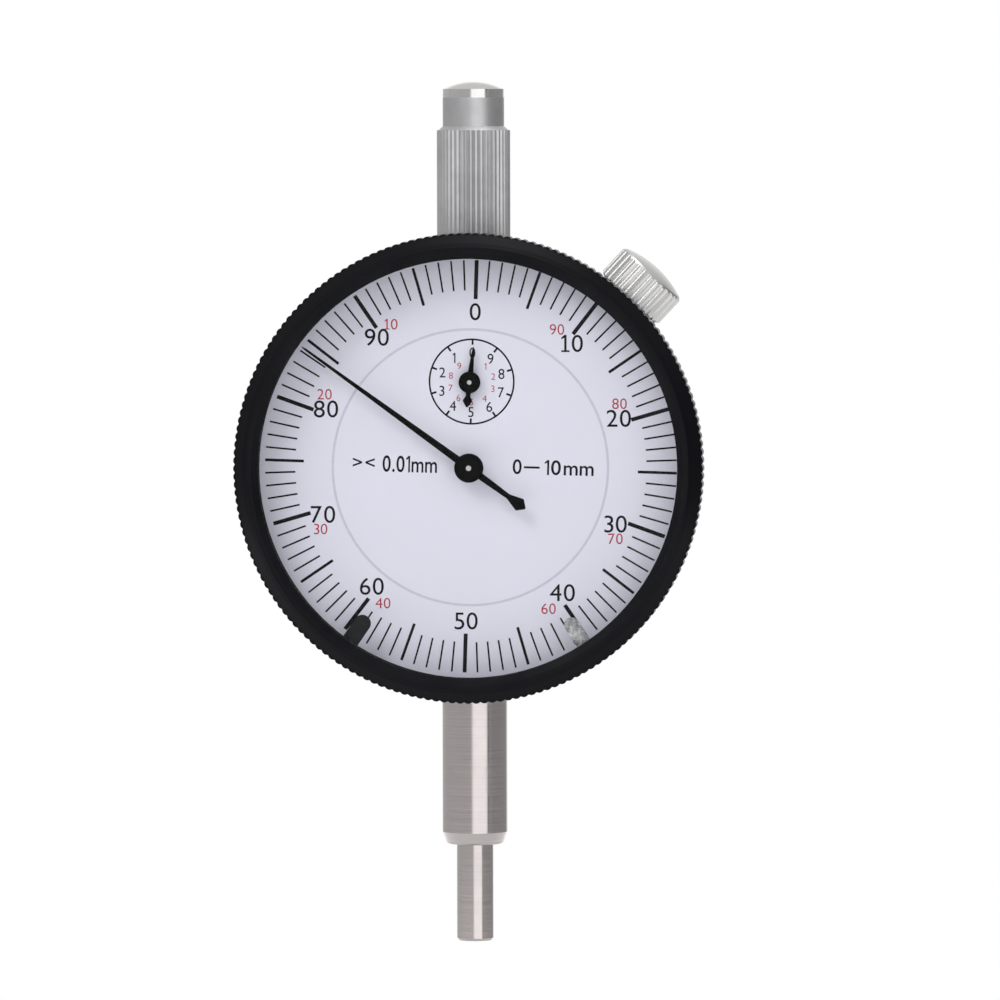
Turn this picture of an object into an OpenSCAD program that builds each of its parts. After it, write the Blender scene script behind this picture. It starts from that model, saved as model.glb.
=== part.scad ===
// Dial indicator, 0 to 10 mm, 0.01 mm per division, 8 mm clamping stem.
// Z runs up along the spindle and the dial faces -Y.
// The origin is the middle of the stem's 8 mm cylinder.

/* [Case] */
// Radius of the case wall
case_r = 26; // [25.5:0.1:26]
// Depth of the flat back behind the spindle axis
back_depth = 7.5; // [7.3:0.1:9]
// Thickness of the back cover
cover_t = 1.0; // [0.8:0.1:1.2]

/* [Stem and spindle] */
// Radius of the clamping stem
stem_r = 4.0; // [3.9:0.05:4.1]
// Length of the stem's full 8 mm cylinder
stem_len = 18.8; // [17:0.1:22]
// Radius of the spindle in the stem
spindle_r = 2.25; // [2.2:0.01:2.25]
// Radial clearance of every running fit
running_gap = 0.03; // [0.02:0.01:0.05]
// How far the spindle's flat end stands below the stem's cylinder
spindle_drop = 13.4; // [12:0.1:18]
// Radius of the plain hole that takes the M2.5 contact point
contact_hole_r = 1.05; // [1.0:0.05:1.1]

/* [Dial] */
// Forward position of the dial face, in front of the spindle axis
dial_f = 6.8; // [6.8:0.05:6.9]
// Radius of the fixed inner dial
inner_dial_r = 16.85; // [16:0.05:17.15]
// Distance of the small dial above the centre
small_dial_h = 10.4; // [10.3:0.05:10.5]
// Length of the main hand from its axis
main_hand_len = 25.2; // [24:0.1:25.3]
// Angle of the main hand, anticlockwise from the top
main_hand_angle = 54.1; // [0:0.1:359]
// Length of the small hand from its axis
small_hand_len = 4.35; // [3.8:0.05:4.5]
// Angle of the small hand, anticlockwise from the top
small_hand_angle = -6.5; // [-180:0.5:180]

/* [Bezel] */
// Tip radius of the bezel's knurl
bezel_r = 28.65; // [28.4:0.05:29.5]
// Number of teeth in the bezel's knurl
bezel_teeth = 180; // [120:2:180]
// Radius of the opening in the bezel's front lip
lip_r = 25.55; // [25:0.05:25.7]
// Forward position of the bezel's front
bezel_front_f = 12.6; // [12.6:0.1:13]
// Width of the left tolerance marker
marker_w = 2.1; // [1.6:0.1:3]
// Width of the right tolerance marker
right_marker_w = 1.8; // [1.6:0.1:3]
// Angle of the left tolerance marker, anticlockwise from 3 o'clock
left_marker_angle = 235.5; // [210:0.1:250]
// Angle of the right tolerance marker, anticlockwise from 3 o'clock
right_marker_angle = 303.4; // [290:0.1:330]

/* [Guard and clamp] */
// Radius of the knurled spindle guard
guard_r = 4.5; // [4.3:0.1:4.5]
// Height of the guard's domed top above the dial axis
top_h = 47.1; // [46:0.1:50]
// Radius of the bezel clamp's knob
knob_r = 4.7; // [4:0.1:4.7]
// Angle of the bezel clamp, anticlockwise from 3 o'clock
clamp_angle = 46.9; // [35:0.1:60]

/* [Hidden] */
$fn = 96;

eps = 0.01;

// Heights along Z.
boss_out = case_r + 0.3;              // outer end of the stem and guard bosses, from the dial axis
dial_z = stem_len / 2 + boss_out;     // height of the dial axis above the origin
stem_top = stem_len / 2;
stem_taper_z = -stem_len / 2;
stem_end_z = stem_taper_z - 1.5;
spindle_tip_z = stem_taper_z - spindle_drop;
spindle_top_z = dial_z + 31.6;
spindle_travel = 10.5;

// Forward positions, measured from the spindle axis towards the reader.
wall_in_r = case_r - 2.4;
cover_in_f = -(back_depth - cover_t);
gasket_t = 0.3;
case_rear_f = cover_in_f + gasket_t;
bezel_rear_f = 5.0;
web_rear_f = 5.5;
web_front_f = dial_f - 0.5;
spigot_r = case_r - 1;
plate_front_f = 3.2;
plate_rear_f = 2.5;
plate_r = 21.5;
train_f = 4.1;                        // rear face of both large wheels
wheel_t = 0.45;
bridge_front_f = -2.7;
bridge_rear_f = -3.5;
hand_f = 8.8;
dial_gap = 0.05;                      // running gap between the two dials
marker_f = 9.98;
marker_t = 0.3;
gasket_f = 10.45;
crystal_f = 10.7;
crystal_t = 1.2;

// Bezel radii.
seat_r = 26.1;
skirt_r = 27.2;
knurl_depth = 0.18;
knurl_root_r = bezel_r - knurl_depth;
knurl_rear_f = 7.4;
knurl_front_f = 11.1;
face_r = 27.45;
face_f = bezel_front_f - 0.45;
chamfer_r = 26.35;

// Gear train. The rack pinion sets travel per turn; the train's module sets the centre distance.
wheel_teeth = 100;
center_teeth = 10;
rack_pinion_teeth = 16;
travel_per_turn = 1;                  // spindle travel for one turn of the main hand
rack_pinion_r = travel_per_turn * wheel_teeth / center_teeth / (2 * PI);
rack_pitch = 2 * PI * rack_pinion_r / rack_pinion_teeth;
train_module = 2 * small_dial_h / (wheel_teeth + center_teeth);
wheel_r = wheel_teeth * train_module / 2;
pinion_r = center_teeth * train_module / 2;
rack_arbor_x = -2.8;
rack_arbor_h = -sqrt(small_dial_h * small_dial_h - rack_arbor_x * rack_arbor_x);
first_wheel_angle = atan2(-rack_arbor_h, -rack_arbor_x);
pinion_phase = first_wheel_angle + 180 + 180 / center_teeth;
counter_phase = 270 + 180 / wheel_teeth
    - (pinion_phase - 5 * 360 / center_teeth - 90) * center_teeth / wheel_teeth;
rack_flat_x = rack_arbor_x + rack_pinion_r - 0.13;
rack_root_x = rack_flat_x + 0.34;

// Guide pin and return spring.
pin_z = dial_z + 7.6;
pin_r = 0.6;
rail_x = 3.2;
rail_w = 3.0;
rail_slot_low = pin_z - pin_r - 0.05;
rail_slot_high = pin_z + spindle_travel + pin_r + 0.05;
spring_x = 7.9;
spring_post_z = dial_z - 18.1;
spring_ring_r = 0.85;
spring_wire_r = 0.16;
spring_coil_r = 1.2;
spring_turns = 22;

// Clamp, measured along its own radial axis.
claw_in = 27.35;
claw_out = 27.95;
knob_in = claw_out + 0.05;
knob_rim = 32.15;
knob_dome = 0.9;
stud_r = 1.2;

// Local frame of the dial: x right, y up, z forward, origin on the dial axis at the spindle's depth.
module at_dial() translate([0, 0, dial_z]) rotate([90, 0, 0]) children();
// Local frame of the clamp: z outward along its axis, x backward, y along the rim.
module at_clamp() at_dial() rotate([0, 0, clamp_angle]) rotate([0, 90, 0]) children();
module at_rack_arbor() at_dial() translate([rack_arbor_x, rack_arbor_h, 0]) children();
module at_counter() at_dial() translate([0, small_dial_h, 0]) children();
module at_place(p) at_dial() translate([p[0], p[1], 0]) children();

module tube(r_out, r_in, z0, z1) {
    rotate_extrude() translate([r_in, z0]) square([r_out - r_in, z1 - z0]);
}

module rod(r, z0, z1) {
    translate([0, 0, z0]) cylinder(r = r, h = z1 - z0);
}

// Points of a circular arc.
function arc(cx, cy, r, a0, a1, n) =
    [for (i = [0:n]) let (a = a0 + (a1 - a0) * i / n) [cx + r * cos(a), cy + r * sin(a)]];

// Outline of a spur gear: four corners for each tooth, widths as a share of the pitch.
function gear_outline(teeth, pitch_radius, add, ded, root_w, tip_w, phase) =
    [for (i = [0:teeth - 1]) for (c = [[-ded, -root_w], [add, -tip_w], [add, tip_w], [-ded, root_w]])
        let (a = phase + (i + c[1] / 2) * 360 / teeth, r = pitch_radius + c[0])
        [r * cos(a), r * sin(a)]];

// Outline of a straight knurl: a small land and a V groove for each tooth.
function knurl_outline(teeth, r_tip, r_root) =
    [for (i = [0:teeth - 1]) for (c = [[r_tip, -0.16], [r_tip, 0.16], [r_root, 0.5]])
        let (a = (i + c[1]) * 360 / teeth) [c[0] * cos(a), c[0] * sin(a)]];

// ---------------------------------------------------------------- case

module case() color("gray") {
    difference() {
        union() {
            at_dial() rotate_extrude($fn = 180) polygon([
                [0, web_rear_f], [wall_in_r, web_rear_f], [wall_in_r, case_rear_f],
                [case_r, case_rear_f], [case_r, bezel_rear_f - 0.1],
                [spigot_r, bezel_rear_f - 0.1], [spigot_r, web_front_f], [0, web_front_f]]);
            translate([0, 0, dial_z - boss_out]) cylinder(r = 4.8, h = 3.0);
            translate([0, 0, dial_z + boss_out - 3.0]) cylinder(r = 4.6, h = 3.0);
            at_clamp() rod(2.4, case_r - 1.5, case_r + 0.4);
        }
        // Keep the bosses out of the movement's space.
        at_dial() rod(wall_in_r, case_rear_f - 1, web_rear_f);
        // Stem and upper bush.
        rod(3.4, stem_top - 1, stem_top + 4);
        translate([0, 0, dial_z + wall_in_r - 1]) cylinder(r = 2.8, h = 5);
        // Thread of the bezel clamp.
        at_clamp() rod(stud_r + running_gap, wall_in_r - 1, case_r + 1);
        // Seats of the three front bushes.
        for (p = arbor_places()) at_place(p) rod(1.4, web_rear_f - 1, web_front_f + 1);
        // Dial feet.
        for (x = [-12, 12]) at_dial() translate([x, -6, 0]) rod(0.5, web_rear_f - 1, web_front_f + 1);
        // Groove of the bezel's spring ring.
        at_dial() tube(spigot_r + 1, spigot_r - 0.4, bezel_rear_f + 0.35, bezel_rear_f + 0.85);
        // Blind holes of the cover screws.
        for (a = cover_screw_angles()) at_dial() rotate([0, 0, a])
            translate([cover_screw_r, 0, 0]) rod(0.6, case_rear_f - 1, case_rear_f + 3.5);
        // Blind holes of the movement's pillars.
        for (p = pillar_places()) at_place(p) rod(0.7, web_rear_f - 1, web_rear_f + 0.5);
    }
}

cover_screw_r = 24.8;
function cover_screw_angles() = [22, 120, 202, 300];
function arbor_places() = [[rack_arbor_x, rack_arbor_h], [0, 0], [0, small_dial_h]];
function pillar_places() = [[-15, 12], [15, 12], [15, -13], [-16, -9]];

module stem() color("silver") rotate_extrude() polygon(concat(
    [[2.55, stem_end_z]],
    arc(3.1, stem_end_z + 0.56, 0.56, -90, -8, 7),
    [[stem_r, stem_taper_z], [stem_r, stem_top], [3.4, stem_top],
     [3.4, stem_top + 2.9], [2.8, stem_top + 2.9], [2.8, stem_end_z + 0.8], [2.55, stem_end_z + 0.8]]));

module stem_bush() color("goldenrod")
    tube(2.8, spindle_r + running_gap, stem_end_z + 0.8, stem_top + 2.8);

module upper_bush() color("goldenrod") rotate_extrude() polygon([
    [1.6 + running_gap, dial_z + wall_in_r - 0.6], [2.8, dial_z + wall_in_r - 0.6],
    [2.8, dial_z + boss_out], [3.4, dial_z + boss_out], [3.4, dial_z + boss_out + 0.8],
    [2.6, dial_z + boss_out + 0.8], [2.6, dial_z + boss_out + 4],
    [1.6 + running_gap, dial_z + boss_out + 4]]);

guard_bottom = dial_z + boss_out;
guard_shoulder = dial_z + top_h - 6.0;
neck_r = guard_r - 0.73;
neck_top = dial_z + top_h - 2.0;

module spindle_guard() color("darkgray") {
    difference() {
        union() {
            // Straight knurl with a short chamfer that the teeth run out on.
            translate([0, 0, guard_bottom]) linear_extrude(guard_shoulder - guard_bottom)
                polygon(knurl_outline(44, guard_r, guard_r - 0.18));
            translate([0, 0, guard_shoulder - eps])
                cylinder(r1 = guard_r - 0.18, r2 = neck_r, h = 0.5, $fn = 96);
            rod(neck_r, guard_shoulder, neck_top);
        }
        rod(2.7, guard_bottom - 1, neck_top + 1);
        rod(3.45, guard_bottom - 1, guard_bottom + 0.9);
    }
}

module guard_cap() color("gainsboro") {
    cap_r = neck_r;
    dome_h = 0.95;
    dome_r = (cap_r * cap_r + dome_h * dome_h) / (2 * dome_h);
    half = asin(cap_r / dome_r);
    rotate_extrude() polygon(concat(
        [[0, neck_top - 1.2], [2.7, neck_top - 1.2], [2.7, neck_top], [cap_r, neck_top],
         [cap_r, dial_z + top_h - dome_h]],
        [for (i = [1:11]) let (a = half * (1 - i / 12))
            [dome_r * sin(a), dial_z + top_h - dome_r + dome_r * cos(a)]],
        [[0, dial_z + top_h]]));
}

module back_cover() color("dimgray") difference() {
    at_dial() rod(case_r - 0.1, -back_depth, cover_in_f);
    for (a = cover_screw_angles()) at_dial() rotate([0, 0, a]) translate([cover_screw_r, 0, 0]) {
        rod(0.75, -back_depth - 1, cover_in_f + 1);
        translate([0, 0, -back_depth - eps]) cylinder(r1 = 1.16, r2 = 0.75, h = 0.5);
    }
}

module cover_gasket() color("black") difference() {
    at_dial() tube(case_r - 0.2, wall_in_r + 0.2, cover_in_f, case_rear_f);
    for (a = cover_screw_angles()) at_dial() rotate([0, 0, a])
        translate([cover_screw_r, 0, 0]) rod(0.75, cover_in_f - 1, case_rear_f + 1);
}

module cover_screws() color("silver") for (a = cover_screw_angles())
    at_dial() rotate([0, 0, a]) translate([cover_screw_r, 0, 0]) difference() {
        union() {
            translate([0, 0, -back_depth + 0.03]) cylinder(r1 = 1.12, r2 = 0.7, h = 0.45);
            rod(0.6, -back_depth + 0.1, case_rear_f + 3.2);
        }
        rotate([0, 0, a * 3]) translate([-1.5, -0.15, -back_depth - 1]) cube([3, 0.3, 1.25]);
    }

module bezel_spring_ring() color("silver") at_dial() rotate_extrude($fn = 180)
    translate([spigot_r - 0.12, bezel_rear_f + 0.6]) circle(r = 0.22, $fn = 24);

// ---------------------------------------------------------------- movement frame

module movement_plate() color("gold") difference() {
    at_dial() rod(plate_r, plate_rear_f, plate_front_f);
    for (p = arbor_places()) at_place(p) rod(1.2, plate_rear_f - 1, plate_front_f + 1);
    for (p = pillar_places()) at_place(p) rod(0.65, plate_rear_f - 1, plate_front_f + 1);
    for (p = concat(bridge_places(), rail_screw_places()))
        at_place(p) rod(0.6, plate_rear_f - 1, plate_front_f + 1);
    at_dial() translate([spring_x, spring_post_z - dial_z, 0])
        rod(0.6, plate_rear_f - 1, plate_front_f + 1);
    at_counter() translate([stud_x, stud_y, 0]) rod(0.35, plate_rear_f - 1, plate_front_f + 1);
}

module plate_pillars() color("silver") for (p = pillar_places())
    at_place(p) difference() {
        union() {
            rod(1.5, plate_front_f, web_rear_f);
            rod(0.7, web_rear_f - eps, web_rear_f + 0.45);
        }
        rod(0.5, plate_front_f - 1, plate_front_f + 1.8);
    }

module slotted_screw(shank_r, head_r, head_t, z_head, z_tip) difference() {
    union() {
        rod(head_r, z_head - head_t, z_head);
        rod(shank_r, z_head - eps, z_tip);
    }
    translate([-head_r - 1, -0.15, z_head - head_t - 1]) cube([2 * head_r + 2, 0.3, 1 + head_t / 2]);
}

module plate_screws() color("silver") for (p = pillar_places())
    at_place(p) slotted_screw(0.5, 1.1, 0.6, plate_rear_f, plate_front_f + 1.6);

function bridge_places() = [[-8.5, -7], [-8.5, -13.5]];

module rear_bridge() color("gold") difference() {
    at_dial() union() {
        translate([-10, -15, bridge_rear_f]) cube([3, 9.5, bridge_front_f - bridge_rear_f]);
        translate([-8, rack_arbor_h - 1.8, bridge_rear_f])
            cube([6.9, 3.6, bridge_front_f - bridge_rear_f]);
    }
    at_rack_arbor() rod(0.9, bridge_rear_f - 1, bridge_front_f + 1);
    for (p = bridge_places()) at_place(p) rod(0.6, bridge_rear_f - 1, bridge_front_f + 1);
}

module bridge_pillars() color("silver") for (p = bridge_places())
    at_place(p) difference() {
        union() {
            rod(1.3, bridge_front_f, plate_rear_f);
            rod(0.6, plate_rear_f - eps, plate_front_f);
        }
        rod(0.5, bridge_front_f - 1, bridge_front_f + 1.8);
    }

module bridge_screws() color("silver") for (p = bridge_places())
    at_place(p) slotted_screw(0.5, 1.1, 0.6, bridge_rear_f, bridge_front_f + 1.6);

module front_bushes() color("goldenrod") {
    at_rack_arbor() difference() {
        rod(1.4, web_rear_f, web_front_f);
        rod(0.35 + running_gap, web_rear_f - 1, web_front_f - 0.15);
    }
    at_dial() tube(1.4, 0.6 + running_gap, web_rear_f, web_front_f);
    at_counter() tube(1.4, 0.5 + running_gap, web_rear_f, web_front_f);
}

module rear_bushes() color("goldenrod") {
    at_rack_arbor() tube(0.9, 0.35 + running_gap, bridge_rear_f, bridge_front_f);
    at_dial() tube(1.2, 0.35 + running_gap, plate_rear_f, plate_front_f);
    at_counter() tube(1.2, 0.35 + running_gap, plate_rear_f, plate_front_f);
}

module inner_dial() color("ghostwhite") at_dial() difference() {
    union() {
        rod(inner_dial_r, web_front_f, dial_f, $fn = 180);
        for (x = [-12, 12]) translate([x, -6, 0]) rod(0.5, web_rear_f + 0.1, web_front_f + eps);
    }
    rod(0.9, web_front_f - 1, dial_f + 1);
    translate([0, small_dial_h, 0]) rod(0.8, web_front_f - 1, dial_f + 1);
}

function rail_screw_places() = [for (h = [rail_slot_low - 2.4, rail_slot_high + 1.15])
    [rail_x + rail_w / 2, h - dial_z]];

module guide_rail() color("gold") difference() {
    translate([rail_x, -plate_rear_f, rail_slot_low - 4])
        cube([rail_w, plate_rear_f + 1.9, rail_slot_high - rail_slot_low + 6.15]);
    translate([rail_x - 1, -pin_r - 0.04, rail_slot_low])
        cube([rail_w + 2, 2 * pin_r + 0.08, rail_slot_high - rail_slot_low]);
    for (p = rail_screw_places()) at_place(p) {
        rod(0.6, -3, plate_rear_f + 1);
        rod(1.2, -3, -1.2);
    }
}

module guide_rail_screws() color("silver") for (p = rail_screw_places())
    at_place(p) slotted_screw(0.55, 1.1, 0.5, -1.2, plate_front_f - 0.1);

module spring_post() color("silver") at_dial() translate([spring_x, spring_post_z - dial_z, 0])
    union() {
        rod(0.6, -1.3, plate_front_f);
        rod(0.95, -1.7, -1.2);
        rod(0.95, 1.2, plate_rear_f);
    }

// Wire path of the return spring: the coil's radius closes in on the axis at both ends.
function spring_point(t) =
    let (a = 360 * spring_turns * t,
         r = spring_coil_r * min(1, min(t, 1 - t) * spring_turns / 0.6),
         z0 = spring_post_z + spring_ring_r, z1 = pin_z - spring_ring_r)
    [spring_x + r * sin(a), r * cos(a), z0 + (z1 - z0) * t];

function unit(v) = v / norm(v);
spring_steps = 10 * spring_turns;
spring_sides = 4;

module spring_loop() rotate_extrude($fn = 28) translate([spring_ring_r, 0])
    circle(r = spring_wire_r, $fn = 6);

module return_spring() color("lightsteelblue") {
    rings = [for (i = [0:spring_steps])
        let (p = spring_point(i / spring_steps),
             after = spring_point(min(1, (i + 0.5) / spring_steps)),
             before = spring_point(max(0, (i - 0.5) / spring_steps)),
             d = unit(after - before),
             u = unit(cross(d, [0, 0, 1])), v = cross(d, u))
        for (k = [0:spring_sides - 1])
            let (a = 360 * k / spring_sides) p + spring_wire_r * (cos(a) * u + sin(a) * v)];
    sides = [for (i = [0:spring_steps - 1]) for (k = [0:spring_sides - 1])
        let (n = (k + 1) % spring_sides, b = i * spring_sides)
        [b + k + spring_sides, b + n + spring_sides, b + n, b + k]];
    first_cap = [for (k = [0:spring_sides - 1]) k];
    last_cap = [for (k = [spring_sides - 1:-1:0]) spring_steps * spring_sides + k];
    polyhedron(points = rings, faces = concat([first_cap], sides, [last_cap]));
    // End loops, round the post and round the pin.
    translate([spring_x, 0, spring_post_z]) rotate([90, 0, 0]) spring_loop();
    translate([spring_x, 0, pin_z]) rotate([0, 90, 0]) spring_loop();
}

hairspring_turns = 5.5;
hairspring_in = 1.05;
hairspring_out = 4.6;
hairspring_t = 0.1;
stud_angle = 360 * hairspring_turns;
stud_x = (hairspring_out + 0.25) * cos(stud_angle);
stud_y = (hairspring_out + 0.25) * sin(stud_angle);

// Spiral strip: radius grows steadily with the angle.
function hairspring_edge(i, n, side) =
    let (r = hairspring_in + (hairspring_out - hairspring_in) * i / n + side * hairspring_t / 2)
    [r * cos(15 * i), r * sin(15 * i)];

module hairspring() color("steelblue") at_counter() translate([0, 0, plate_front_f + 0.2])
    linear_extrude(0.35)
        let (n = 24 * hairspring_turns)
        polygon(concat([for (i = [0:n]) hairspring_edge(i, n, -1)],
                       [for (i = [n:-1:0]) hairspring_edge(i, n, 1)]));

module hairspring_stud() color("silver") at_counter() translate([stud_x, stud_y, 0])
    rod(0.35, plate_rear_f, plate_front_f + 0.75);

// ---------------------------------------------------------------- spindle

module spindle() color("silver") {
    rack_low = dial_z + rack_arbor_h - 19 * rack_pitch;
    difference() {
        rotate_extrude() polygon([
            [0, spindle_tip_z], [spindle_r - 0.25, spindle_tip_z], [spindle_r, spindle_tip_z + 0.3],
            [spindle_r, pin_z + 3.4], [1.6, pin_z + 4.1], [1.6, spindle_top_z - 0.4], [1.2, spindle_top_z],
            [0, spindle_top_z]]);
        // Threaded hole for the contact point, with a drill point.
        rod(contact_hole_r, spindle_tip_z - 1, spindle_tip_z + 6);
        translate([0, 0, spindle_tip_z + 6 - eps]) cylinder(r1 = contact_hole_r, r2 = 0.05, h = 0.6);
        // Rack: a flat, then one V groove for each tooth space.
        translate([-5, -3, rack_low - rack_pitch]) cube([5 + rack_flat_x, 6, 24 * rack_pitch]);
        for (k = [0:22]) translate([0, 3, rack_low + k * rack_pitch]) rotate([90, 0, 0])
            linear_extrude(6) polygon([
                [rack_flat_x - 0.4, -0.32], [rack_flat_x, -0.19], [rack_root_x, -0.08],
                [rack_root_x, 0.08], [rack_flat_x, 0.19], [rack_flat_x - 0.4, 0.32]]);
        // Cross hole of the guide pin.
        translate([-1, 0, pin_z]) rotate([0, 90, 0]) cylinder(r = pin_r, h = 5);
    }
}

module guide_pin() color("gainsboro") translate([-1, 0, pin_z]) rotate([0, 90, 0]) difference() {
    cylinder(r = pin_r, h = spring_x + 2.2);
    tube(1, pin_r - 0.12, spring_x + 0.75, spring_x + 1.25);
}

// ---------------------------------------------------------------- gear train

rack_pinion_rear_f = -1.9;
rack_pinion_front_f = 1.9;

module rack_arbor() color("silver") at_rack_arbor() {
    rod(0.35, bridge_rear_f + 0.05, bridge_front_f + 0.02);
    rod(0.6, bridge_front_f + 0.1, rack_pinion_rear_f);
    translate([0, 0, bridge_front_f + 0.01]) cylinder(r = 0.35, h = 0.12);
    translate([0, 0, rack_pinion_rear_f - eps])
        linear_extrude(rack_pinion_front_f - rack_pinion_rear_f + eps)
            polygon(gear_outline(rack_pinion_teeth, rack_pinion_r, 0.13, 0.24, 0.6, 0.24, 0));
    rod(0.8, rack_pinion_front_f - eps, train_f + wheel_t);
    rod(1.2, train_f - 0.35, train_f);
    rod(0.35, train_f + wheel_t - eps, web_front_f - 0.2);
}

module spoked_wheel(phase, bore_r) difference() {
    linear_extrude(wheel_t)
        polygon(gear_outline(wheel_teeth, wheel_r, 0.13, 0.22, 0.7, 0.26, phase));
    rod(bore_r, -1, wheel_t + 1);
    for (a = [0:90:270]) rotate([0, 0, a]) translate([0, 0, -1]) linear_extrude(wheel_t + 2)
        polygon(concat(arc(0, 0, 2.4, 17, 73, 6), arc(0, 0, 7.9, 84, 6, 12)));
}

module first_wheel() color("gold") at_rack_arbor() translate([0, 0, train_f])
    spoked_wheel(first_wheel_angle, 0.8);

module counter_wheel() color("gold") at_counter() translate([0, 0, train_f])
    spoked_wheel(counter_phase, 0.7);

module center_arbor() color("silver") at_dial() {
    rod(0.35, plate_rear_f + 0.05, plate_front_f + 0.12);
    rod(0.45, plate_front_f + 0.1, 3.6);
    translate([0, 0, 3.6 - eps]) linear_extrude(1.5)
        polygon(gear_outline(center_teeth, pinion_r, 0.13, 0.22, 0.62, 0.24, pinion_phase));
    rod(0.6, 5.05, hand_f - 0.4);
    rod(0.33, hand_f - 0.41, hand_f + 0.95);
}

module counter_arbor() color("silver") at_counter() {
    rod(0.35, plate_rear_f + 0.05, plate_front_f + 0.12);
    rod(0.55, plate_front_f + 0.1, train_f - 0.09);
    rod(0.7, train_f - 0.1, train_f + wheel_t);
    rod(0.5, train_f + wheel_t - eps, dial_f + 0.3);
    rod(0.28, dial_f + 0.29, dial_f + 1.35);
}

module hairspring_collet() color("goldenrod") at_counter()
    tube(0.95, 0.55, plate_front_f + 0.15, train_f - 0.15);

module hand_hub() color("black") at_dial() difference() {
    rotate_extrude() polygon(concat(
        [[0.33, hand_f - 0.4], [0.9, hand_f - 0.4], [0.9, hand_f + 0.18],
         [1.78, hand_f + 0.18], [1.78, hand_f + 0.6]],
        arc(1.48, hand_f + 0.6, 0.3, 0, 90, 5), [[0.33, hand_f + 1.0]]));
    rod(0.33, hand_f - 1, hand_f + 2);
}

// A hand drawn pointing up: a tapering blade, an eye, and a tail that ends in a kite.
module hand_outline(blade, root_w, tip_w, eye_r, tail_neck, neck_w, kite_w, kite_at, tail_len) {
    polygon([[-root_w / 2, 0], [root_w / 2, 0], [tip_w / 2, blade - 0.6], [0.04, blade],
             [-0.04, blade], [-tip_w / 2, blade - 0.6]]);
    circle(r = eye_r);
    polygon([[-root_w / 2, 0], [-neck_w / 2, -tail_neck], [-kite_w / 2, -kite_at], [-0.1, -tail_len],
             [0.1, -tail_len], [kite_w / 2, -kite_at], [neck_w / 2, -tail_neck], [root_w / 2, 0]]);
}

module main_hand() color("black") at_dial() rotate([0, 0, main_hand_angle]) difference() {
    translate([0, 0, hand_f]) linear_extrude(0.18)
        hand_outline(main_hand_len, 0.95, 0.26, 1.5, 5.9, 0.62, 1.7, 7.65, 8.45);
    rod(0.9, hand_f - 1, hand_f + 1);
}

small_hand_f = dial_f + 0.7;

module small_hand_hub() color("black") at_counter() rotate_extrude() polygon(concat(
    [[0.28, small_hand_f - 0.3], [0.6, small_hand_f - 0.3], [0.6, small_hand_f + 0.15],
     [1.33, small_hand_f + 0.15], [1.33, small_hand_f + 0.35]],
    arc(1.08, small_hand_f + 0.35, 0.25, 0, 90, 4), [[0.28, small_hand_f + 0.65]]));

module small_hand() color("black") at_counter() rotate([0, 0, small_hand_angle]) difference() {
    translate([0, 0, small_hand_f]) linear_extrude(0.15)
        hand_outline(small_hand_len, 0.85, 0.3, 1.1, 1.7, 0.55, 1.2, 2.3, 3.05);
    rod(0.6, small_hand_f - 1, small_hand_f + 1);
}

// ---------------------------------------------------------------- bezel

module bezel() color("#1c1c20") at_dial() difference() {
    union() {
        rotate_extrude($fn = 180) polygon([
            [spigot_r - 1, bezel_rear_f], [skirt_r, bezel_rear_f], [skirt_r, knurl_rear_f + eps],
            [knurl_root_r - eps, knurl_rear_f + 1], [knurl_root_r - eps, knurl_front_f],
            [face_r, face_f], [26.95, bezel_front_f], [spigot_r - 1, bezel_front_f]]);
        translate([0, 0, knurl_rear_f]) linear_extrude(knurl_front_f - knurl_rear_f)
            polygon(knurl_outline(bezel_teeth, bezel_r, knurl_root_r));
    }
    // Running bore on the case, ring groove, wall, marker groove, crystal seat and lip.
    rotate_extrude($fn = 180) polygon([
        [0, bezel_rear_f - 1], [spigot_r + 0.05, bezel_rear_f - 1],
        [spigot_r + 0.05, bezel_rear_f + 0.32], [spigot_r + 0.4, bezel_rear_f + 0.32],
        [spigot_r + 0.4, bezel_rear_f + 0.88], [spigot_r + 0.05, bezel_rear_f + 0.88],
        [spigot_r + 0.05, dial_f - 0.4], [seat_r, dial_f - 0.4],
        [seat_r, marker_f - 0.06], [seat_r + 0.9, marker_f - 0.06],
        [seat_r + 0.9, marker_f + marker_t + 0.06],
        [seat_r, marker_f + marker_t + 0.06], [seat_r, crystal_f + crystal_t],
        [lip_r, crystal_f + crystal_t], [lip_r, crystal_f + crystal_t + 0.12],
        [chamfer_r, bezel_front_f], [chamfer_r, bezel_front_f + 1], [0, bezel_front_f + 1]]);
}

module crystal() color("lightcyan", 0.3) at_dial()
    rod(seat_r, crystal_f, crystal_f + crystal_t, $fn = 180);

module crystal_gasket() color("black") at_dial() rotate_extrude($fn = 180)
    translate([25.5, gasket_f]) square([seat_r - 25.5, crystal_f - gasket_f]);

module dial_ring() color("ghostwhite") at_dial() rotate_extrude($fn = 180)
    translate([inner_dial_r + dial_gap, dial_f - 0.4]) square([seat_r - inner_dial_r - dial_gap, 0.4]);

// A tolerance marker: a round-ended tab on a foot that runs in the bezel's groove.
module marker(angle, width) at_dial() rotate([0, 0, angle]) translate([0, 0, marker_f])
    linear_extrude(marker_t) {
        tip_r = 21.9;
        foot_r = seat_r + 0.8;
        end_x = tip_r + width / 2;
        translate([end_x, 0]) circle(r = width / 2);
        translate([end_x, -width / 2]) square([foot_r - 0.3 - end_x, width]);
        polygon(concat(arc(0, 0, foot_r, -5, 5, 8), arc(0, 0, seat_r + 0.1, 5, -5, 8)));
    }

module marker_left() color("#202024") marker(left_marker_angle, marker_w);
module marker_right() color("silver") marker(right_marker_angle, right_marker_w);

// ---------------------------------------------------------------- bezel clamp

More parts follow.
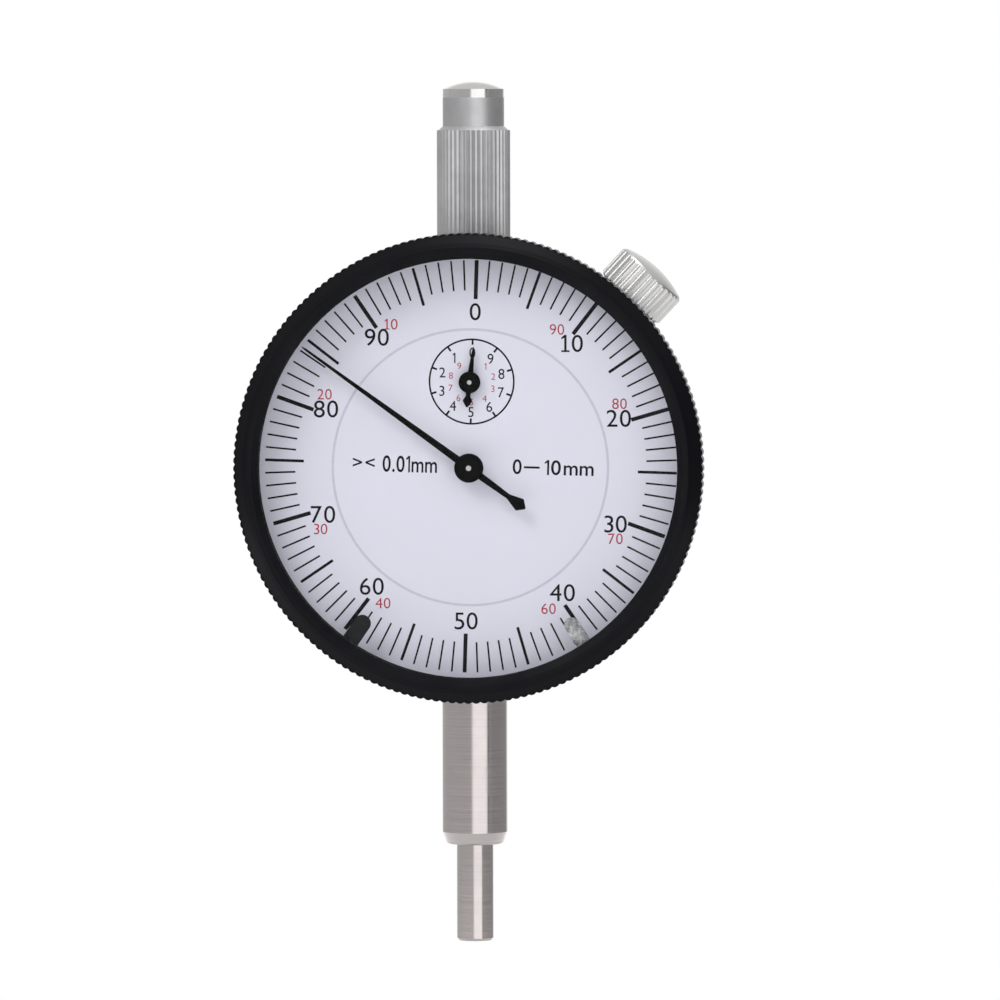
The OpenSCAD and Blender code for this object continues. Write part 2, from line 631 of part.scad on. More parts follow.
module clamp_claw() color("dimgray") at_clamp() difference() {
    union() {
        // Plate from the heel, behind, to the lip over the bezel's skirt.
        translate([-6.9, -2.2, claw_in]) cube([11.1, 4.4, claw_out - claw_in]);
        translate([3.0, -2.2, case_r + 0.25]) cube([1.2, 4.4, claw_in - case_r]);
    }
    rod(stud_r + 0.12, case_r, knob_in);
}

module clamp_stud() color("silver") at_clamp() union() {
    rod(stud_r, wall_in_r + 0.4, knob_in + 2);
    translate([0, 0, wall_in_r]) cylinder(r1 = stud_r - 0.4, r2 = stud_r, h = 0.4 + eps);
}

module clamp_knob() color("gainsboro") at_clamp() difference() {
    dome_r = (knob_r * knob_r + knob_dome * knob_dome) / (2 * knob_dome);
    half = asin((knob_r - 0.35) / dome_r);
    rotate_extrude() polygon(concat(
        [[0, knob_in], [knob_r - 0.3, knob_in], [knob_r, knob_in + 0.3], [knob_r, knob_rim - 0.25]],
        [for (i = [0:11]) let (a = half * (1 - i / 12))
            [dome_r * sin(a), knob_rim + knob_dome - dome_r + dome_r * cos(a)]],
        [[0, knob_rim + knob_dome]]));
    rod(stud_r, knob_in - 1, knob_in + 2);
    for (a = [0:12:359]) rotate([0, 0, a]) translate([knob_r + 0.3, 0, knob_in - 1])
        cylinder(r = 0.5, h = knob_rim - knob_in + 3, $fn = 24);
}

case();
stem();
stem_bush();
upper_bush();
spindle_guard();
guard_cap();
back_cover();
cover_gasket();
cover_screws();
bezel_spring_ring();
movement_plate();
plate_pillars();
plate_screws();
rear_bridge();
bridge_pillars();
bridge_screws();
front_bushes();
rear_bushes();
inner_dial();
guide_rail();
guide_rail_screws();
spring_post();
return_spring();
hairspring();
hairspring_stud();
spindle();
guide_pin();
rack_arbor();
first_wheel();
center_arbor();
hand_hub();
main_hand();
counter_arbor();
counter_wheel();
hairspring_collet();
small_hand_hub();
small_hand();
bezel();
crystal();
crystal_gasket();
dial_ring();
marker_left();
marker_right();
clamp_claw();
clamp_stud();
clamp_knob();
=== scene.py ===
import bpy
import bmesh
from math import sin, cos, radians, pi
from mathutils import Matrix, Vector


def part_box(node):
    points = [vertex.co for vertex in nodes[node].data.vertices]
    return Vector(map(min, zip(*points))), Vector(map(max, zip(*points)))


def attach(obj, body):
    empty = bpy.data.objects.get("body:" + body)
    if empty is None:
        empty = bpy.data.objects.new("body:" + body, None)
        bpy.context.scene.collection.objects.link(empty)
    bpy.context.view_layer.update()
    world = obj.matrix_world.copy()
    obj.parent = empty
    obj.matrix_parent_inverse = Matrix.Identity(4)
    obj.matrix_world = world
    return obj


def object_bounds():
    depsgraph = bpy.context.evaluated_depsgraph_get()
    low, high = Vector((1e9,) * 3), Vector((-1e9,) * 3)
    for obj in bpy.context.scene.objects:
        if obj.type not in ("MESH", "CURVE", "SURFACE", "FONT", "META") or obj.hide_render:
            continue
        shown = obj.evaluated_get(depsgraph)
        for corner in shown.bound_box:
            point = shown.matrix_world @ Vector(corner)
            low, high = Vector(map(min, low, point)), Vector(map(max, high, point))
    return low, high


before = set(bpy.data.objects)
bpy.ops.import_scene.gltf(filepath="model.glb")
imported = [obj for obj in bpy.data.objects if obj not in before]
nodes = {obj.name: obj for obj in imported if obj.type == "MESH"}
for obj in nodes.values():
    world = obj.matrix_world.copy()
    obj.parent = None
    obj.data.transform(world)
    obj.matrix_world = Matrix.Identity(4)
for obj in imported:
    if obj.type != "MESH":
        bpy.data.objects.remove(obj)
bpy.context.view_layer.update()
MM = 0.001


# ---------------------------------------------------------------- places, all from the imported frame

def centre(node):
    low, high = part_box(node)
    return (low + high) / 2


crystal_low, crystal_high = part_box("crystal")
dial_x = (crystal_low.x + crystal_high.x) / 2
dial_z = (crystal_low.z + crystal_high.z) / 2
dial_face_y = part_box("inner_dial")[0].y
small_centre = centre("small_hand_hub")
seam_r = (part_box("inner_dial")[1].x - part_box("inner_dial")[0].x) / 2


# ---------------------------------------------------------------- node helpers

class Mat:
    """A material with short helpers for adding and linking nodes."""

    def __init__(self, name):
        self.m = bpy.data.materials.new(name)
        self.m.use_nodes = True
        self.t = self.m.node_tree
        self.t.nodes.clear()
        self.out = self.t.nodes.new("ShaderNodeOutputMaterial")

    def add(self, kind, **props):
        n = self.t.nodes.new(kind)
        for key, value in props.items():
            if key in n.inputs:
                n.inputs[key].default_value = value
            else:
                setattr(n, key, value)
        return n

    def link(self, a, b):
        self.t.links.new(a, b)

    def shader(self, **values):
        n = self.t.nodes.new("ShaderNodeBsdfPrincipled")
        for key, value in values.items():
            n.inputs[key.replace("_", " ")].default_value = value
        self.link(n.outputs["BSDF"], self.out.inputs["Surface"])
        return n

    def coords(self, scale=(1, 1, 1)):
        tex = self.add("ShaderNodeTexCoord")
        mapping = self.add("ShaderNodeMapping")
        mapping.inputs["Scale"].default_value = scale
        self.link(tex.outputs["Object"], mapping.inputs["Vector"])
        return mapping.outputs["Vector"]

    def noise(self, scale, detail=4.0, rough=0.55, stretch=(1, 1, 1)):
        n = self.add("ShaderNodeTexNoise")
        n.inputs["Scale"].default_value = scale
        n.inputs["Detail"].default_value = detail
        n.inputs["Roughness"].default_value = rough
        self.link(self.coords(stretch), n.inputs["Vector"])
        return n.outputs["Fac"]

    def span(self, value, low, high, to_low, to_high):
        n = self.add("ShaderNodeMapRange")
        n.inputs["From Min"].default_value = low
        n.inputs["From Max"].default_value = high
        n.inputs["To Min"].default_value = to_low
        n.inputs["To Max"].default_value = to_high
        self.link(value, n.inputs["Value"])
        return n.outputs["Result"]

    def ramp(self, value, stops):
        n = self.add("ShaderNodeValToRGB")
        while len(n.color_ramp.elements) < len(stops):
            n.color_ramp.elements.new(0.5)
        for e, (at, colour) in zip(n.color_ramp.elements, stops):
            e.position = at
            e.color = (*colour, 1)
        self.link(value, n.inputs["Fac"])
        return n.outputs["Color"]

    def math(self, kind, a, b):
        n = self.add("ShaderNodeMath", operation=kind)
        for socket, value in zip(n.inputs, (a, b)):
            if isinstance(value, (int, float)):
                socket.default_value = value
            else:
                self.link(value, socket)
        return n.outputs["Value"]

    def mix_colour(self, factor, a, b):
        n = self.add("ShaderNodeMix", data_type="RGBA")
        self.link(factor, n.inputs["Factor"])
        for name, value in (("A", a), ("B", b)):
            socket = [i for i in n.inputs if i.name == name and i.type == "RGBA"][0]
            if isinstance(value, tuple):
                socket.default_value = (*value, 1)
            else:
                self.link(value, socket)
        return [o for o in n.outputs if o.type == "RGBA"][0]

    def bump(self, shader, height, strength, distance):
        n = self.add("ShaderNodeBump")
        n.inputs["Strength"].default_value = strength
        n.inputs["Distance"].default_value = distance
        self.link(height, n.inputs["Height"])
        self.link(n.outputs["Normal"], shader.inputs["Normal"])
        return n


# ---------------------------------------------------------------- materials

def ground_steel(name, light, dark, roughness, line_axis="Z"):
    """Centreless-ground stainless: fine lines round the part, faint cloudy stains."""
    mat = Mat(name)
    stretch = {"Z": (40, 40, 9000), "Y": (40, 9000, 40), "X": (9000, 40, 40)}[line_axis]
    lines = mat.noise(1.0, 2.0, 0.5, stretch)
    clouds = mat.noise(260.0, 5.0, 0.6)
    both = mat.math("ADD", mat.span(clouds, 0.3, 0.7, 0.3, 0.5), mat.span(lines, 0.3, 0.7, 0.0, 0.2))
    shade = mat.ramp(both, [(0.3, dark), (0.7, light)])
    s = mat.shader(Metallic=1.0, Specular_IOR_Level=0.5)
    mat.link(shade, s.inputs["Base Color"])
    rough = mat.math("ADD", mat.span(lines, 0.3, 0.7, -0.05, 0.05),
                     mat.span(clouds, 0.3, 0.7, roughness + 0.03, roughness - 0.03))
    mat.link(rough, s.inputs["Roughness"])
    mat.bump(s, lines, 0.08, 0.000004)
    return mat.m


def turned(name, light, dark, roughness, grain=3500.0):
    """Small turned or stamped metal parts: fine grain and slight tarnish."""
    mat = Mat(name)
    fine = mat.noise(grain, 3.0, 0.6)
    clouds = mat.noise(420.0, 4.0, 0.6)
    s = mat.shader(Metallic=1.0)
    mat.link(mat.ramp(clouds, [(0.32, dark), (0.68, light)]), s.inputs["Base Color"])
    mat.link(mat.span(fine, 0.3, 0.7, roughness - 0.05, roughness + 0.06), s.inputs["Roughness"])
    mat.bump(s, fine, 0.12, 0.000006)
    return mat.m


def anodised_grey(name):
    """Matte bead-blasted, anodised aluminium of the guard."""
    mat = Mat(name)
    grain = mat.noise(9000.0, 2.0, 0.5)
    clouds = mat.noise(300.0, 4.0, 0.6)
    s = mat.shader(Metallic=1.0)
    mat.link(mat.ramp(clouds, [(0.3, (0.50, 0.50, 0.51)), (0.7, (0.60, 0.60, 0.61))]),
             s.inputs["Base Color"])
    mat.link(mat.span(grain, 0.3, 0.7, 0.36, 0.48), s.inputs["Roughness"])
    mat.bump(s, grain, 0.3, 0.00001)
    return mat.m


def polished(name, colour, roughness):
    """Bright nickel plate: nearly a mirror, with hairline scratches."""
    mat = Mat(name)
    scratch = mat.noise(900.0, 6.0, 0.75, (1, 7, 1))
    s = mat.shader(Metallic=1.0)
    mat.link(mat.ramp(scratch, [(0.35, tuple(c * 0.9 for c in colour)), (0.65, colour)]),
             s.inputs["Base Color"])
    mat.link(mat.span(scratch, 0.35, 0.7, roughness, roughness + 0.1), s.inputs["Roughness"])
    mat.bump(s, scratch, 0.06, 0.00001)
    return mat.m


def black_anodised(name, base, roughness):
    """Satin black anodised aluminium with paler, worn crests."""
    mat = Mat(name)
    grain = mat.noise(7000.0, 2.0, 0.5)
    clouds = mat.noise(150.0, 5.0, 0.6)
    edge = mat.add("ShaderNodeNewGeometry").outputs["Pointiness"]
    worn = mat.math("MULTIPLY", mat.span(edge, 0.53, 0.62, 0.0, 1.0), mat.span(clouds, 0.35, 0.75, 0.1, 0.8))
    s = mat.shader(Metallic=0.0, Specular_IOR_Level=0.10)
    colour = mat.mix_colour(worn, base, tuple(c * 3.0 + 0.02 for c in base))
    mat.link(colour, s.inputs["Base Color"])
    mat.link(mat.math("ADD", mat.span(grain, 0.3, 0.7, -0.04, 0.04),
                      mat.span(clouds, 0.3, 0.7, roughness + 0.03, roughness - 0.03)),
             s.inputs["Roughness"])
    mat.bump(s, grain, 0.2, 0.000008)
    return mat.m


def enamel(name, base, roughness, grain=2600.0, depth=0.00002, gloss=0.5, shade=0.9):
    """Stoved paint with a fine orange-peel surface."""
    mat = Mat(name)
    peel = mat.noise(grain, 2.0, 0.45)
    clouds = mat.noise(120.0, 4.0, 0.6)
    s = mat.shader(Metallic=0.0, Specular_IOR_Level=gloss)
    mat.link(mat.ramp(clouds, [(0.3, tuple(c * shade for c in base)), (0.7, base)]),
             s.inputs["Base Color"])
    mat.link(mat.span(peel, 0.3, 0.7, roughness - 0.05, roughness + 0.05), s.inputs["Roughness"])
    mat.bump(s, peel, 0.35, depth)
    return mat.m


def scratched(name):
    """Bare bright strip with coarse diagonal scratches."""
    mat = Mat(name)
    a = mat.noise(1.0, 3.0, 0.7, (500, 500, 2600))
    b = mat.noise(1.0, 3.0, 0.7, (2400, 500, 600))
    both = mat.math("MULTIPLY", a, b)
    s = mat.shader(Metallic=1.0)
    mat.link(mat.ramp(both, [(0.12, (0.14, 0.14, 0.15)), (0.25, (0.33, 0.33, 0.34)),
                         (0.42, (0.66, 0.66, 0.67))]),
             s.inputs["Base Color"])
    mat.link(mat.span(both, 0.1, 0.4, 0.52, 0.30), s.inputs["Roughness"])
    mat.bump(s, both, 0.7, 0.00006)
    return mat.m


def rubber(name):
    mat = Mat(name)
    grain = mat.noise(5000.0, 3.0, 0.6)
    s = mat.shader(Metallic=0.0)
    mat.link(mat.ramp(grain, [(0.3, (0.012, 0.012, 0.012)), (0.7, (0.028, 0.028, 0.028))]),
             s.inputs["Base Color"])
    mat.link(mat.span(grain, 0.3, 0.7, 0.6, 0.75), s.inputs["Roughness"])
    mat.bump(s, grain, 0.3, 0.00001)
    return mat.m


def ink(name, colour):
    """Screen-printed ink: matte, very slightly uneven."""
    mat = Mat(name)
    grain = mat.noise(8000.0, 3.0, 0.6)
    s = mat.shader(Metallic=0.0, Specular_IOR_Level=0.15)
    mat.link(mat.ramp(grain, [(0.3, tuple(c * 0.8 for c in colour)), (0.7, colour)]),
             s.inputs["Base Color"])
    mat.link(mat.span(grain, 0.3, 0.7, 0.45, 0.6), s.inputs["Roughness"])
    return mat.m


def clear_crystal(name):
    """Clear moulded crystal: see-through, with a weak gloss that grows at grazing angles."""
    mat = Mat(name)
    edge_on = mat.add("ShaderNodeLayerWeight", Blend=0.5).outputs["Facing"]
    share = mat.math("ADD", mat.math("MULTIPLY", mat.math("POWER", edge_on, 5.0), 0.9), 0.003)
    clear = mat.add("ShaderNodeBsdfTransparent", Color=(0.985, 0.99, 0.99, 1))
    gloss = mat.add("ShaderNodeBsdfGlossy", Roughness=0.03)
    smear = mat.noise(60.0, 3.0, 0.5)
    mat.link(mat.span(smear, 0.3, 0.7, 0.02, 0.05), gloss.inputs["Roughness"])
    mix = mat.add("ShaderNodeMixShader")
    mat.link(share, mix.inputs["Fac"])
    mat.link(clear.outputs["BSDF"], mix.inputs[1])
    mat.link(gloss.outputs["BSDF"], mix.inputs[2])
    mat.link(mix.outputs["Shader"], mat.out.inputs["Surface"])
    return mat.m


satin_steel = ground_steel("ground_stainless", (0.68, 0.63, 0.62), (0.56, 0.515, 0.505), 0.17)
guard_grey = anodised_grey("guard_anodised")
bright_nickel = polished("bright_nickel", (0.80, 0.79, 0.78), 0.10)
satin_nickel = polished("satin_nickel", (0.66, 0.655, 0.65), 0.28)
bezel_black = black_anodised("bezel_black", (0.0030, 0.0030, 0.0050), 0.34)
case_black = enamel("case_enamel", (0.020, 0.020, 0.022), 0.38, gloss=0.35)
dial_white = enamel("dial_white", (0.85, 0.83, 0.95), 0.55, 5200.0, 0.000004, 0.2, 0.98)
hand_black = enamel("hand_black", (0.0035, 0.0033, 0.0038), 0.42, 7000.0, 0.000004, 0.05)
# The left limit tab is a metal tab of the same kind as the bare right one, coloured near-black: painted
# shade.
marker_painted_shade = enamel("marker_painted_shade", (0.014, 0.014, 0.017), 0.45, 5200.0, 0.00001, 0.18)
brass = turned("turned_brass", (0.80, 0.58, 0.26), (0.62, 0.43, 0.18), 0.26)
small_steel = turned("turned_steel", (0.62, 0.62, 0.63), (0.50, 0.50, 0.51), 0.26)
spring_wire = turned("spring_wire", (0.48, 0.48, 0.50), (0.36, 0.36, 0.38), 0.30)
blued = turned("blued_spring", (0.10, 0.14, 0.34), (0.05, 0.08, 0.22), 0.25)
bare_strip = scratched("bare_scratched")
black_rubber = rubber("gasket_rubber")
black_ink = ink("black_ink", (0.008, 0.008, 0.011))
# A grey a little darker than the dial, for the rim over the seam between the dials: painted shade of the
# seam.
rim_painted_shade = ink("rim_painted_shade", (0.72, 0.72, 0.82))
red_ink = ink("red_ink", (0.60, 0.060, 0.075))
crystal_clear = clear_crystal("crystal_clear")

finish_of = {
    satin_steel: ["stem", "spindle"],
    guard_grey: ["spindle_guard"],
    bright_nickel: ["guard_cap", "guide_pin"],
    satin_nickel: ["clamp_knob"],
    bezel_black: ["bezel"],
    case_black: ["case", "back_cover", "clamp_claw"],
    dial_white: ["inner_dial", "dial_ring"],
    hand_black: ["main_hand", "hand_hub", "small_hand", "small_hand_hub"],
    marker_painted_shade: ["marker_left"],
    bare_strip: ["marker_right"],
    brass: ["stem_bush", "upper_bush", "movement_plate", "rear_bridge", "front_bushes",
            "rear_bushes", "guide_rail", "first_wheel", "counter_wheel", "hairspring_collet"],
    small_steel: ["cover_screws", "plate_pillars", "plate_screws", "bridge_pillars", "bridge_screws",
                  "guide_rail_screws", "spring_post", "hairspring_stud", "rack_arbor",
                  "center_arbor", "counter_arbor", "clamp_stud"],
    spring_wire: ["bezel_spring_ring", "return_spring"],
    blued: ["hairspring"],
    black_rubber: ["cover_gasket", "crystal_gasket"],
    crystal_clear: ["crystal"],
}
for material, names in finish_of.items():
    for n in names:
        nodes[n].data.materials.clear()
        nodes[n].data.materials.append(material)
bare = [n for n, o in nodes.items() if not o.data.materials]
assert not bare, bare


# ---------------------------------------------------------------- edges of the CAD nodes

def soften(node, width, segments=2, angle=35):
    """A small bevel on the sharp edges, so that they catch the light."""
    mod = nodes[node].modifiers.new("edge", "BEVEL")
    mod.width = width
    mod.segments = segments
    mod.limit_method = "ANGLE"
    mod.angle_limit = radians(angle)
    mod.harden_normals = False


for n in ("back_cover", "clamp_claw", "marker_left", "marker_right", "cover_screws"):
    soften(n, 0.05 * MM)


# ---------------------------------------------------------------- printed dial

PRINT = 0.012 * MM          # thickness of the ink
dial_tilt = radians(-1.5)   # the fixed dial's print stands a little clockwise of upright
scale_tilt = radians(1.83)  # and the outer scale a little more
scale_x, scale_z = dial_x + 0.05 * MM, dial_z + 0.10 * MM


def on_dial(x, z, cx, cz, tilt):
    """Point x to the right and z up from a centre on the dial, turned by tilt."""
    return (cx + x * cos(tilt) - z * sin(tilt), cz + x * sin(tilt) + z * cos(tilt))


def solid(bm, outline, y_front, y_back):
    """A thin slab from an anticlockwise outline of (x, z) points."""
    front = [bm.verts.new((x, y_front, z)) for x, z in outline]
    back = [bm.verts.new((x, y_back, z)) for x, z in outline]
    bm.faces.new(front)
    bm.faces.new(back[::-1])
    for i in range(len(front)):
        j = (i + 1) % len(front)
        bm.faces.new((front[j], front[i], back[i], back[j]))


def tick(bm, cx, cz, angle, r0, r1, width):
    """A radial line of the scale; angle is clockwise from the top."""
    outline = [on_dial(x, z, cx, cz, -angle) for x, z in
               ((-width / 2, r0), (width / 2, r0), (width / 2, r1), (-width / 2, r1))]
    solid(bm, outline, dial_face_y - PRINT, dial_face_y + PRINT)


def ring(bm, cx, cz, r_in, r_out, steps=120):
    y0, y1 = dial_face_y - PRINT, dial_face_y + PRINT
    rows = []
    for r, y in ((r_in, y0), (r_out, y0), (r_out, y1), (r_in, y1)):
        rows.append([bm.verts.new((cx + r * cos(2 * pi * i / steps), y, cz + r * sin(2 * pi * i / steps)))
                     for i in range(steps)])
    for k in range(4):
        a, b = rows[k], rows[(k + 1) % 4]
        for i in range(steps):
            j = (i + 1) % steps
            bm.faces.new((a[i], a[j], b[j], b[i]))


def piece(name, bm, material, body):
    bmesh.ops.recalc_face_normals(bm, faces=bm.faces)
    mesh = bpy.data.meshes.new(name)
    bm.to_mesh(mesh)
    bm.free()
    mesh.materials.append(material)
    o = bpy.data.objects.new(name, mesh)
    bpy.context.scene.collection.objects.link(o)
    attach(o, body)
    return o


def plain_one(foot):
    """Outline of a figure 1 with a flag and, if asked, a foot, one unit high."""
    upper = [(0.295, 1.0), (0.185, 1.0), (0.0, 0.85), (0.0, 0.735), (0.165, 0.83)]
    if foot:
        return [(0.0, 0.0), (0.46, 0.0), (0.46, 0.1), (0.295, 0.1)] + upper + [(0.165, 0.1), (0.0, 0.1)]
    return [(0.165, 0.0), (0.295, 0.0)] + upper


def glyph(char, foot, weight):
    """One character as a flat mesh in figure heights, with its left edge at x = 0."""
    part = bmesh.new()
    if char == "1":
        part.faces.new([part.verts.new((x, y, 0)) for x, y in plain_one(foot)])
        return part
    curve = bpy.data.curves.new("figure", "FONT")
    curve.size = 1.0
    curve.offset = weight
    curve.resolution_u = 5
    o = bpy.data.objects.new("figure", curve)
    bpy.context.scene.collection.objects.link(o)
    tops = []
    for body in ("0", char):
        curve.body = body
        bpy.context.view_layer.update()
        flat = bpy.data.meshes.new_from_object(o.evaluated_get(bpy.context.evaluated_depsgraph_get()))
        tops.append((min(v.co.y for v in flat.vertices), max(v.co.y for v in flat.vertices)))
        if body == char:
            part.from_mesh(flat)
        bpy.data.meshes.remove(flat)
        if char == "0":
            break
    unit = tops[0][1] - tops[0][0]
    bmesh.ops.remove_doubles(part, verts=part.verts, dist=1e-6)
    left = min(v.co.x for v in part.verts)
    for v in part.verts:
        v.co = ((v.co.x - left) / unit, (v.co.y - tops[0][0]) / unit, 0)
    bpy.data.objects.remove(o)
    bpy.data.curves.remove(curve)
    return part


def lettering(bm, text, cx, cz, height, width=None, turn=0.0, weight=0.0, squeeze=1.0, gap=0.13, foot=False):
    """Printed characters centred at (cx, cz), scaled to a height and, if given, an overall width."""
    line = []
    at = 0.0
    for char in text:
        part = glyph(char, foot, weight)
        wide = max(v.co.x for v in part.verts)
        line.append((part, at))
        at += wide + gap
    total = at - gap
    kx = width / total if width else height * squeeze
    for part, start in line:
        for v in part.verts:
            x, z = on_dial((v.co.x + start - total / 2) * kx, (v.co.y - 0.5) * height, cx, cz, turn)
            v.co = (x, dial_face_y - PRINT, z)
        made = bmesh.ops.extrude_face_region(part, geom=list(part.faces))
        for v in made["geom"]:
            if isinstance(v, bmesh.types.BMVert):
                v.co.y = dial_face_y + PRINT
        hold = bpy.data.meshes.new("hold")
        part.to_mesh(hold)
        part.free()
        bm.from_mesh(hold)
        bpy.data.meshes.remove(hold)


def polar(cx, cz, angle, r):
    """Point at a clockwise angle from the top."""
    return cx + r * sin(angle), cz + r * cos(angle)


tilt = -dial_tilt
FIGURE, RED_FIGURE = 2.1 * MM, 1.3 * MM         # heights of the outer scale's figures
# Outer scale, on the ring that turns with the bezel. The 10s stand on alternate sides of their lines.
bm = bmesh.new()
for i in range(100):
    long, mid = i % 10 == 0, i % 5 == 0
    width = 0.48 if long else 0.34 if mid else 0.21
    tick(bm, scale_x, scale_z, 2 * pi * i / 100 + scale_tilt, (20.45 if mid else 21.5) * MM, 25.2 * MM,
         width * MM)
for i in range(10):
    side = 0 if i in (0, 5) else 1 if (i + (i > 5)) % 2 else -1
    aside = radians(1.8 * side)
    r = (18.9 if side == 0 else 19.5 if i in (1, 9) else 19.05) * MM
    x, z = polar(scale_x, scale_z, 2 * pi * i / 10 + scale_tilt + aside, r)
    lettering(bm, str(10 * i), x, z, FIGURE, squeeze=1.03, foot=True)
piece("outer_scale_black", bm, black_ink, "bezel_unit")

bm = bmesh.new()
for i in (1, 2, 3, 4, 6, 7, 8, 9):
    side = 1 if i in (3, 4, 8, 9) else -1
    aside = radians(side * (5.25 if i in (1, 4, 6, 9) else 6.55))
    x, z = polar(scale_x - 0.1 * MM, scale_z, 2 * pi * i / 10 + scale_tilt + aside, 19.85 * MM)
    lettering(bm, str(100 - 10 * i), x, z, RED_FIGURE, weight=-0.004, foot=True)
piece("outer_scale_red", bm, red_ink, "bezel_unit")

# Small dial and captions, on the fixed inner dial.
# Its print stands a little off the small hand's arbor.
cx, cz = small_centre.x, small_centre.z
ring_x, ring_z = cx + 0.20 * MM, cz + 0.07 * MM
bm = bmesh.new()
ring(bm, ring_x, ring_z, 5.05 * MM, 5.26 * MM)
for i in range(10):
    turn_by = 2 * pi * i / 10
    tick(bm, ring_x, ring_z, turn_by + tilt, 4.5 * MM, 5.15 * MM, 0.24 * MM)
    x, z = cx + (0.20 + 3.8 * sin(tilt - turn_by)) * MM, cz + (3.62 * cos(tilt - turn_by) - 0.03) * MM
    lettering(bm, str(i), x, z, 1.25 * MM, weight=0.001, squeeze=0.95)
for text, x, z, h, w in ((">", -13.9, 0.14, 1.5, 1.15), ("<", -12.35, 0.14, 1.5, 1.15),
                         ("0.01mm", -7.48, 0.10, 2.03, 6.67), ("0", 5.67, 0.14, 1.83, 1.1),
                         ("10", 10.02, 0.14, 1.83, 1.98), ("mm", 13.2, 0.14, 1.83, 3.65)):
    px, pz = on_dial((x + 0.07) * MM, (z + 0.085) * MM, dial_x, dial_z, dial_tilt)
    lettering(bm, text, px, pz, h * MM, w * MM, dial_tilt, 0.01)
dash = [on_dial((x + 0.07) * MM, (z + 0.085) * MM, dial_x, dial_z, dial_tilt) for x, z in
        ((6.5, -0.03), (8.42, -0.03), (8.42, 0.22), (6.5, 0.22))]
solid(bm, dash, dial_face_y - PRINT, dial_face_y + PRINT)
piece("inner_dial_black", bm, black_ink, "body")

bm = bmesh.new()
for i in range(1, 10):
    turn_by = 2 * pi * i / 10 + tilt
    x, z = cx + (0.23 + 2.72 * sin(turn_by)) * MM, cz + (2.42 * cos(turn_by) - 0.01) * MM
    lettering(bm, str(i), x, z, 0.80 * MM, weight=-0.004)
piece("inner_dial_red", bm, red_ink, "body")

# The inner dial's rolled rim, which laps over the gap between the dials. It is coloured a little darker than
# the dial: painted shade of the seam.
bm = bmesh.new()
ring(bm, dial_x, dial_z, seam_r - 0.15 * MM, seam_r + 0.15 * MM, 180)
piece("inner_dial_rim", bm, rim_painted_shade, "body")


# ---------------------------------------------------------------- stage, light and camera

def stage_mesh(name, verts, faces, material):
    mesh = bpy.data.meshes.new(name)
    mesh.from_pydata(verts, [], faces)
    mesh.materials.append(material)
    o = bpy.data.objects.new(name, mesh)
    bpy.context.scene.collection.objects.link(o)
    return o


# A pale round floor with a painted glow that grows towards its rim, so that it brightens to the white of the
# backdrop there.
FLOOR_R = 0.34
FLOOR_DROP = 0.045          # how far the floor lies below the spindle
floor_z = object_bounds()[0].z - FLOOR_DROP
floor_mat = Mat("pale_floor")
shade = floor_mat.shader(Base_Color=(0.76, 0.76, 0.76, 1), Roughness=0.9, Specular_IOR_Level=0.1)
shade.inputs["Emission Color"].default_value = (1, 1, 1, 1)
radial = floor_mat.add("ShaderNodeTexGradient", gradient_type="SPHERICAL")
floor_mat.link(floor_mat.coords((1.7, 1.7, 0)), radial.inputs["Vector"])
# Emission strength, low in the middle and high at the rim: painted glow.
floor_mat.link(floor_mat.span(radial.outputs["Fac"], 0.45, 0.85, 0.70, 0.03),
               shade.inputs["Emission Strength"])
floor_edge = [(FLOOR_R * cos(2 * pi * i / 96), FLOOR_R * sin(2 * pi * i / 96), floor_z) for i in range(96)]
stage_mesh("floor", floor_edge, [tuple(range(96))], floor_mat.m)

# The studio: white to the camera; for light and reflections, a softbox a little to the right of
# the front, a narrow dark flag beside it, grey sides, a white back, and even light above and below.
GLOW = 1.3
world = bpy.data.worlds.new("studio")
bpy.context.scene.world = world
world.use_nodes = True
tree = world.node_tree


def studio(kind, **props):
    n = tree.nodes.new(kind)
    for key, value in props.items():
        setattr(n, key, value)
    return n


direction = studio("ShaderNodeSeparateXYZ")
tree.links.new(studio("ShaderNodeTexCoord").outputs["Generated"], direction.inputs["Vector"])
behind = studio("ShaderNodeMath", operation="MULTIPLY")
behind.inputs[1].default_value = -1.0
tree.links.new(direction.outputs["Y"], behind.inputs[0])
heading = studio("ShaderNodeMath", operation="ARCTAN2")
tree.links.new(direction.outputs["X"], heading.inputs[0])
tree.links.new(behind.outputs["Value"], heading.inputs[1])
turn = studio("ShaderNodeMath", operation="MULTIPLY_ADD")
turn.inputs[1].default_value = 1 / (2 * pi)
turn.inputs[2].default_value = 0.5
tree.links.new(heading.outputs["Value"], turn.inputs[0])
walls = studio("ShaderNodeValToRGB")
levels = ((-180, 0.85), (-165, 0.8), (-150, 0.40), (-100, 0.37), (-8, 0.35), (-2, 1.0), (47, 1.0),
          (50, 0.11), (56, 0.11), (59, 0.34), (64, 0.21), (108, 0.23), (148, 0.25), (165, 0.8), (180, 0.85))
while len(walls.color_ramp.elements) < len(levels):
    walls.color_ramp.elements.new(0.5)
for e, (angle, level) in zip(walls.color_ramp.elements, levels):
    e.position = 0.5 + angle / 360
    e.color = (level, level, level, 1)
tree.links.new(turn.outputs["Value"], walls.inputs["Fac"])
height = studio("ShaderNodeMath", operation="ABSOLUTE")
tree.links.new(direction.outputs["Z"], height.inputs[0])
above = studio("ShaderNodeMapRange")
above.inputs["From Min"].default_value = 0.30
above.inputs["From Max"].default_value = 0.50
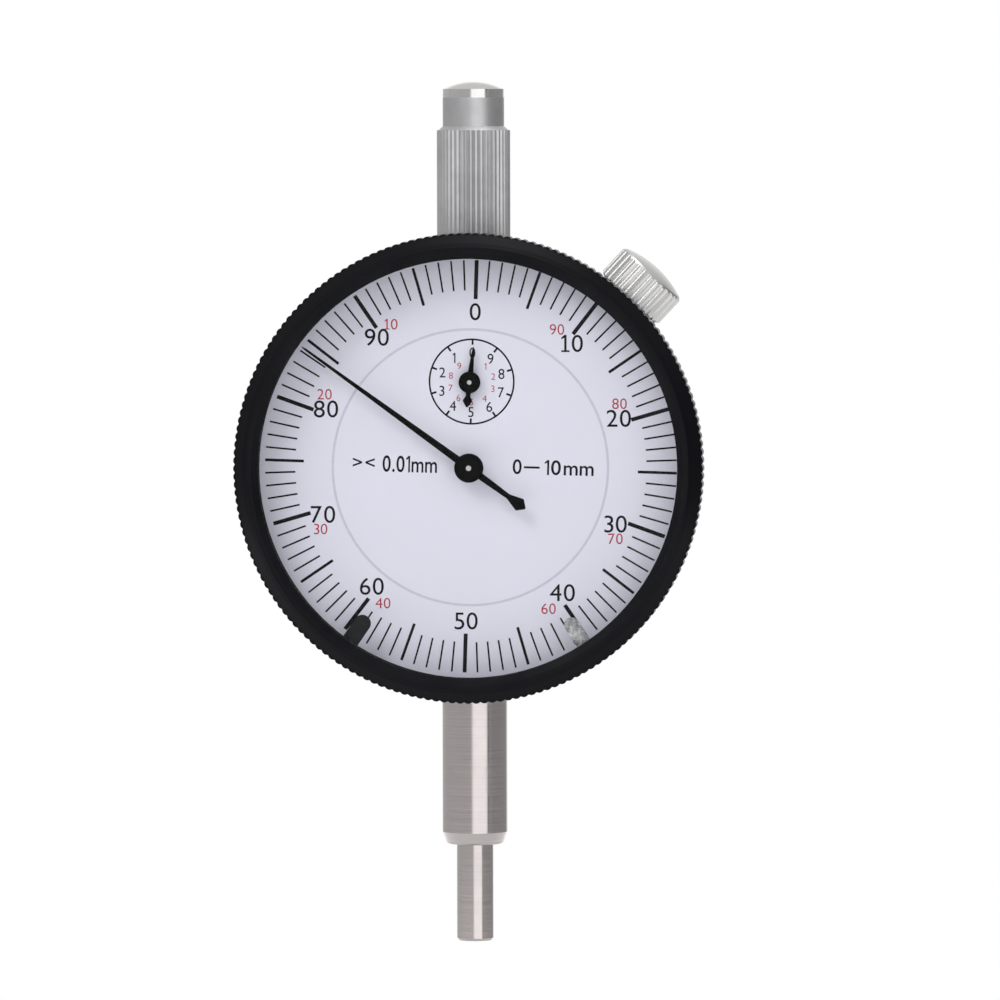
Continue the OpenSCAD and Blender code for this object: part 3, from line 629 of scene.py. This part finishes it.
tree.links.new(height.outputs["Value"], above.inputs["Value"])
room = studio("ShaderNodeMix", data_type="RGBA")
seen = studio("ShaderNodeMix", data_type="RGBA")
for mix, factor, a, b in ((room, above.outputs["Result"], walls.outputs["Color"], 0.52),
                          (seen, studio("ShaderNodeLightPath").outputs["Is Camera Ray"], None, 1 / GLOW)):
    colour_in = [i for i in mix.inputs if i.type == "RGBA"]
    colour_out = [o for o in mix.outputs if o.type == "RGBA"][0]
    tree.links.new(factor, mix.inputs["Factor"])
    tree.links.new(a or last, colour_in[0])
    colour_in[1].default_value = (b, b, b, 1)
    last = colour_out
background = tree.nodes["Background"]
background.inputs["Strength"].default_value = GLOW
tree.links.new(last, background.inputs["Color"])


def area(name, at, towards, size, size_y, power, colour=(1, 1, 1)):
    data = bpy.data.lights.new(name, "AREA")
    data.shape = "RECTANGLE"
    data.size = size
    data.size_y = size_y
    data.energy = power
    data.color = colour
    o = bpy.data.objects.new(name, data)
    o.location = at
    o.rotation_euler = (Vector(towards) - Vector(at)).to_track_quat("-Z", "Y").to_euler()
    bpy.context.scene.collection.objects.link(o)
    return o


middle = (0, 0, 0.035)
area("key", (-0.45, -0.75, 0.75), middle, 0.5, 0.5, 3.0)
area("top", (0.1, 0.1, 0.95), middle, 0.5, 0.5, 1.5)

azimuth, pitch, distance, roll = radians(4.0), radians(2.57), 1.1, radians(-0.13)
aim = Vector((0.00316, 0.0, 0.0314))
camera_data = bpy.data.cameras.new("camera")
camera_data.sensor_width = 36.0
camera_data.lens = 8.14 * distance * 36.0
camera_data.clip_start = 0.05
camera = bpy.data.objects.new("camera", camera_data)
away = Vector((sin(azimuth) * cos(pitch), -cos(azimuth) * cos(pitch), sin(pitch)))
camera.location = aim + distance * away
look = (aim - camera.location).to_track_quat("-Z", "Y").to_matrix().to_4x4()
camera.rotation_euler = (look @ Matrix.Rotation(roll, 4, "Z")).to_euler()
bpy.context.scene.collection.objects.link(camera)
bpy.context.scene.camera = camera
bpy.context.scene.view_settings.view_transform = "Standard"
